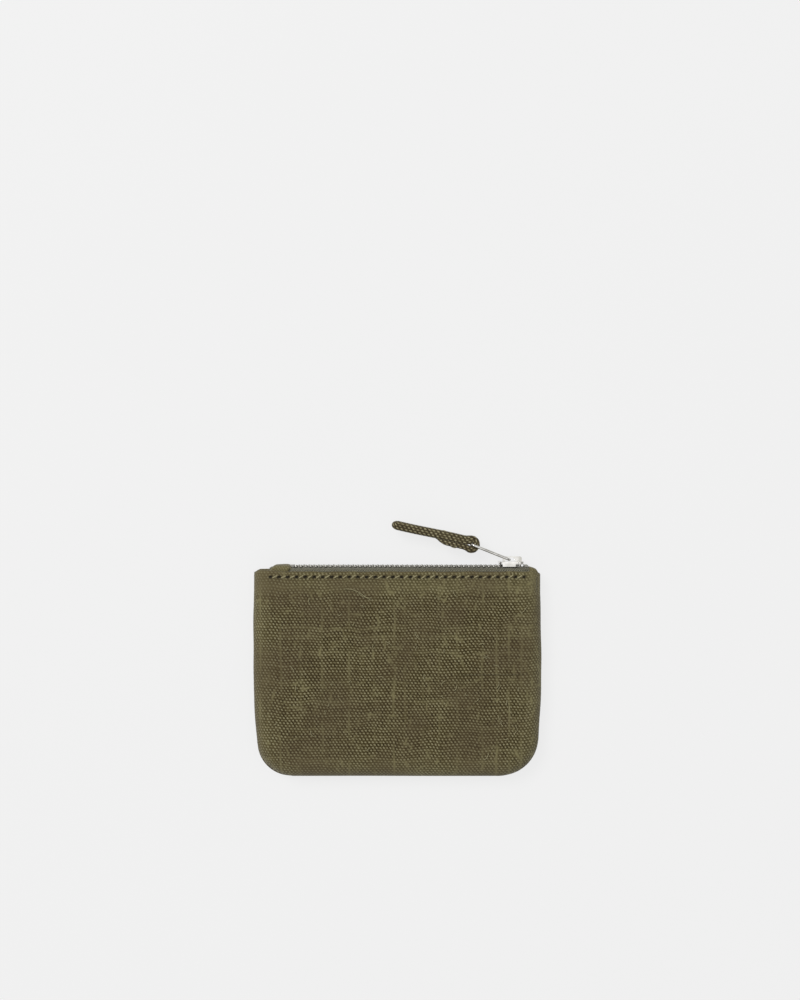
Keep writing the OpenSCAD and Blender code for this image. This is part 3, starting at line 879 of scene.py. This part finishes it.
make_teeth("front_tooth_row", "front_teeth", True)
make_teeth("back_tooth_row", "back_teeth", False)

# %% [markdown]
# ## The end tabs
# A scrap of the same canvas is folded over each end of the zip before it is sewn in. The fold
# is plump, with soft rounded corners. Each tab is a sweep along the mouth, from the zip's end out
# to the pouch's corner, which it closes. A formula gives its top line, which falls to the corner.

# %% The end tabs
TUCK = 1.3 * MM                  # how far a tab reaches into the mouth, below the frame's own
FINER = 1.35                     # how much closer the weave looks where the scrap is folded


def make_tab(name, node, top_line, deep, corner):
    """A plump fold of canvas, sewn into the side seam."""
    low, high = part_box(node)
    xs = np.linspace(corner, high.x, 72) if corner < 0 else np.linspace(low.x, corner, 56)
    deep = np.minimum(deep, depth_at(xs, 35 * MM + 0 * xs) - 0.75 * MM)
    top = top_line(xs) + 0.06 * MM * np.sin(xs / (1.1 * MM))
    bottom = np.full(len(xs), low.y - TUCK)
    path = np.stack([xs, (top + bottom) / 2, MID + 0 * xs], axis=1)
    ends = round_ends(len(xs), 6)
    half_wide = deep * (0.75 + 0.25 * ends)
    bumps = weave_bumps(WARP, WEFT, 0.03 * MM)
    points, cloth, faces, _ = sweep(path, (0, 0, 1), (top - bottom) / 2, half_wide, 44, 0.6, bumps)
    # The whole tab gets half the slub field, so its colour is lighter all over.
    fields = {"slub": np.full(len(points), 0.5)}
    piece = build_piece(name, [(points, cloth * FINER, faces, fields)], canvas)
    place_piece(piece, "pouch", "canvas", node)


def left_top(x):
    rise = smooth((x + 53.6 * MM) / (3.6 * MM))
    shoulder = np.sqrt(np.clip(1 - (np.clip(x + 46.2 * MM, 0, None) / (1.65 * MM)) ** 2, 0, 1))
    corner = 1.4 * MM * smooth((-x - 56.5 * MM) / (2.6 * MM))
    return TOP_Y - 0.5 * MM + 2.75 * MM * rise - 1.3 * MM * (1 - shoulder) - corner


def right_top(x):
    shoulder = 0.5 * MM * smooth((x - 55 * MM) / (2 * MM))
    corner = 2.3 * MM * smooth((x - 56.6 * MM) / (2.8 * MM))
    return TOP_Y + 1.3 * MM - shoulder - corner


make_tab("left_tab", "left_end_tab", left_top, 5.1 * MM, -59.2 * MM)
make_tab("right_tab", "right_end_tab", right_top, 4.6 * MM, 59.2 * MM)

# %% [markdown]
# ## The pull strap
# The pull is one narrow strip of folded canvas. It passes round the ring's far bar, comes back
# on itself and is sewn down, which makes it twice as thick near the ring and leaves a dark eye
# where the bar goes through. The strip is swept along that path, so the eye is a real hole.

# %% The pull strap
strap_joint = next(joint for joint in frame["joints"] if joint["name"] == "strap_swing")
EYE = np.array(strap_joint["pos_m"])
STRAP_ANGLE = math.radians(180 - 14.5)
STRAP_L, STRAP_HALF = 34.5 * MM, 2.6 * MM
TAIL_L = 14 * MM
TAIL_TIP = 1.5 * MM              # how far the sewn tail's thin tip runs on
EYE_TURN = 2.2 * MM              # radius of the strip's turn round the bar


def on_strap(u, v):
    """A point along and across the strap, in the frame; v grows away from the zip."""
    ahead = np.array([math.cos(STRAP_ANGLE), math.sin(STRAP_ANGLE), 0])
    up = np.array([math.sin(STRAP_ANGLE), -math.cos(STRAP_ANGLE), 0])
    return EYE + np.multiply.outer(u, ahead) + np.multiply.outer(v, up)


def strap_line():
    """The strip's middle line and its half thickness: tail, round the bar, then the long layer."""
    tail = np.linspace(TAIL_L + TAIL_TIP, 1.2 * MM, 40)
    turn = np.linspace(-75, -285, 44)[1:-1] * math.pi / 180
    long = np.linspace(1.2 * MM, STRAP_L - 0.4 * MM, 96)
    tail_half = 0.3 * MM + 0.9 * MM * smooth((TAIL_L + TAIL_TIP - tail) / (5.5 * MM))
    tail_v = -0.5 * MM - tail_half - 0.45 * MM * (1 - smooth(tail / (1.9 * MM)))
    long_half = 1.55 * MM + 0.35 * MM * smooth(long / (1.8 * MM))
    long_v = 1.05 * MM + 1.1 * MM * (1 - smooth(long / (2.6 * MM)))
    u = np.concatenate([tail, EYE_TURN * np.cos(turn), long])
    v = np.concatenate([tail_v, EYE_TURN * np.sin(turn), long_v])
    half = np.concatenate([tail_half, np.full(len(turn), 1.5 * MM), long_half])
    for _ in range(8):
        for values in (u, v, half):
            values[1:-1] = (values[:-2] + 2 * values[1:-1] + values[2:]) / 4
    sag = 0.9 * MM * smooth((u - 4 * MM) / (30 * MM)) * np.sin(np.clip(u / STRAP_L, 0, 1) * math.pi)
    droop = 1.2 * MM * np.clip(u / STRAP_L, 0, 1) ** 1.6
    return on_strap(u, v - 0.4 * sag - droop), half


strap_path, strap_half = strap_line()
ends = round_ends(len(strap_path), 8)
ends[:8] = smooth(np.linspace(0.12, 1, 8))
part = sweep(strap_path, (0, 0, 1), strap_half * ends, STRAP_HALF * (0.35 + 0.65 * ends), 44, 0.5,
             weave_bumps(STRAP_WARP, STRAP_WEFT, 0.07 * MM))
strap = build_piece("strap", [part], strap_cloth)
place_piece(strap, "strap", "strap_canvas", "pull_strap")

# %% [markdown]
# ## The strap's stitches and loose fibres
# Two rows of three stitches close the strap's eye on each face. The canvas also sheds loose linen
# fibres, which lie on the front in slack curves; they are thin tubes that follow the cloth.

# %% The strap's stitches and loose fibres
parts = []
for z in (-1.4 * MM, 1.4 * MM):
    for k in range(3):
        u = TAIL_L - 2 * MM - k * 2.6 * MM
        for v, out in ((2.55 * MM, 1), (-0.5 * MM - 1.5 * MM * (1 + 0.35 * k), -1)):
            start, end = on_strap(u - 1 * MM, v), on_strap(u + 1 * MM, v)
            way = on_strap(0, 1) - on_strap(0, 0)
            start[2] = end[2] = MID + z
            parts.append(thread_run(start, end, 0.1 * MM, 0.32 * MM, way * out, steps=12))
strap_thread = build_piece("strap_thread", parts, thread)
place_piece(strap_thread, "strap", "thread", "pull_strap_stitching")

FIBRE_POINTS = 26                # points along one fibre
SHORT_FIBRES = 46


def fibre(x, y, length, angle, slack):
    """A loose fibre from a point on the front, all in mm, that swings aside by its slack."""
    t = np.linspace(0, 1, FIBRE_POINTS)
    px = x * MM + length * MM * t * math.cos(angle) - slack * MM * np.sin(math.pi * t) * math.sin(angle)
    swing = slack * MM * np.sin(math.pi * t * 1.5)
    py = y * MM + length * MM * t * math.sin(angle) + swing * math.cos(angle)
    z = MID + depth_at(px, py) + 0.5 * MM + 0.25 * MM * smooth((py - 31.5 * MM) / MM)
    radius = 0.13 * MM * round_ends(FIBRE_POINTS)
    return sweep(np.stack([px, py, z], axis=1), (0, 0, 1), radius, radius, 8)


parts = [fibre(-22, 35.6, 12.5, -0.33, 0.9), fibre(-16, 34.0, 6, -0.5, -0.5)]
for _ in range(SHORT_FIBRES):
    parts.append(fibre(rng.uniform(-53, 52), rng.uniform(-38, 33), rng.uniform(1.0, 3.4),
                       rng.uniform(0.2, math.pi - 0.2), rng.uniform(-0.6, 0.6)))
fibres = build_piece("loose_fibres", parts, fibre_yarn)
place_piece(fibres, "pouch", "thread")

# %% [markdown]
# ## The metal pieces from the frame
# The slider, its crown, the ring and the stops keep their exact CAD shapes. Their edges get a
# small bevel, since die-cast and stamped metal has no sharp edge and the bevel is what catches
# the light; the ring is round wire and needs none. The weld comes first, as the frame's meshes
# are split at their edges.

# %% The metal pieces from the frame
def finish_metal(node, material, bevel):
    piece = frame["nodes"][node]
    piece.data.materials.clear()
    piece.data.materials.append(material)
    weld = piece.modifiers.new("weld", "WELD")
    weld.merge_threshold = 0.002 * MM
    if bevel:
        rounding = piece.modifiers.new("bevel", "BEVEL")
        rounding.width = bevel
        rounding.segments = 3
        rounding.limit_method = "ANGLE"
        rounding.angle_limit = math.radians(38)


for node in ("front_top_stop", "back_top_stop", "bottom_stop"):
    finish_metal(node, tooth_metal, 0.12 * MM)
finish_metal("slider_body", nickel, 0.26 * MM)
finish_metal("slider_crown", nickel, 0.4 * MM)
finish_metal("pull_ring", nickel, 0)

# %% [markdown]
# ## Floor and light
# A pale matt surface like a light table: it glows a little itself, so that a flat thing lying on
# it throws almost no shadow. A big softbox to the upper left brings out the weave. The
# surroundings are white at the horizon and overhead with a dark band between, so that the metal
# has both light and dark to reflect.

# %% Floor and light
floor_material, tree, shader = new_material("pale_light_table", {"Roughness": 0.9, "Specular IOR Level": 0.0})
where = add(tree, "TexCoord").outputs["Object"]
cloud = add(tree, "TexNoise", {"Vector": where, "Scale": 9.0, "Detail": 1.0})
pale = ramp(tree, cloud.outputs["Fac"], [(0.0, "#5f5f5f"), (1.0, "#626262")])
tree.links.new(pale, shader.inputs["Base Color"])
shader.inputs["Emission Color"].default_value = linear("#f4f4f4")
shader.inputs["Emission Strength"].default_value = 0.855

floor_mesh = bpy.data.meshes.new("floor")
reach = 4.0
corners = [(-reach, -reach, 0), (reach, -reach, 0), (reach, reach, 0), (-reach, reach, 0)]
floor_mesh.from_pydata(corners, [], [(0, 1, 2, 3)])
floor_mesh.materials.append(floor_material)
floor = bpy.data.objects.new("floor", floor_mesh)
bpy.context.scene.collection.objects.link(floor)
floor.location.z = -0.2 * MM

world = bpy.data.worlds.new("studio")
bpy.context.scene.world = world
world.use_nodes = True
sky = world.node_tree
direction = add(sky, "TexCoord").outputs["Generated"]
height = add(sky, "SeparateXYZ", {"Vector": direction})
glow = ramp(sky, height.outputs["Z"],
            [(0.0, "#ffffff"), (0.13, "#f4f4f4"), (0.2, "#161616"), (0.42, "#4c4c4c"),
             (0.62, "#e6e6e6"), (0.85, "#ffffff")])
sky.links.new(glow, sky.nodes["Background"].inputs["Color"])
peak = add(sky, "MapRange", {"Value": height.outputs["Z"], "From Min": 0.9, "From Max": 0.99,
                             "To Min": 0.72, "To Max": 1.1})
sky.links.new(peak.outputs[0], sky.nodes["Background"].inputs["Strength"])


def softbox(name, place, size, power):
    light = bpy.data.lights.new(name, "AREA")
    light.shape = "DISK"
    light.size = size
    light.energy = power
    box = bpy.data.objects.new(name, light)
    bpy.context.scene.collection.objects.link(box)
    box.location = place
    direction = mathutils.Vector((0, 0, 0)) - box.location
    box.rotation_euler = direction.to_track_quat("-Z", "Y").to_euler()


softbox("key_softbox", (-0.8, 0.9, 1.5), 0.8, 15.0)
bpy.context.scene.view_settings.view_transform = "Standard"
bpy.context.scene.view_settings.look = "None"
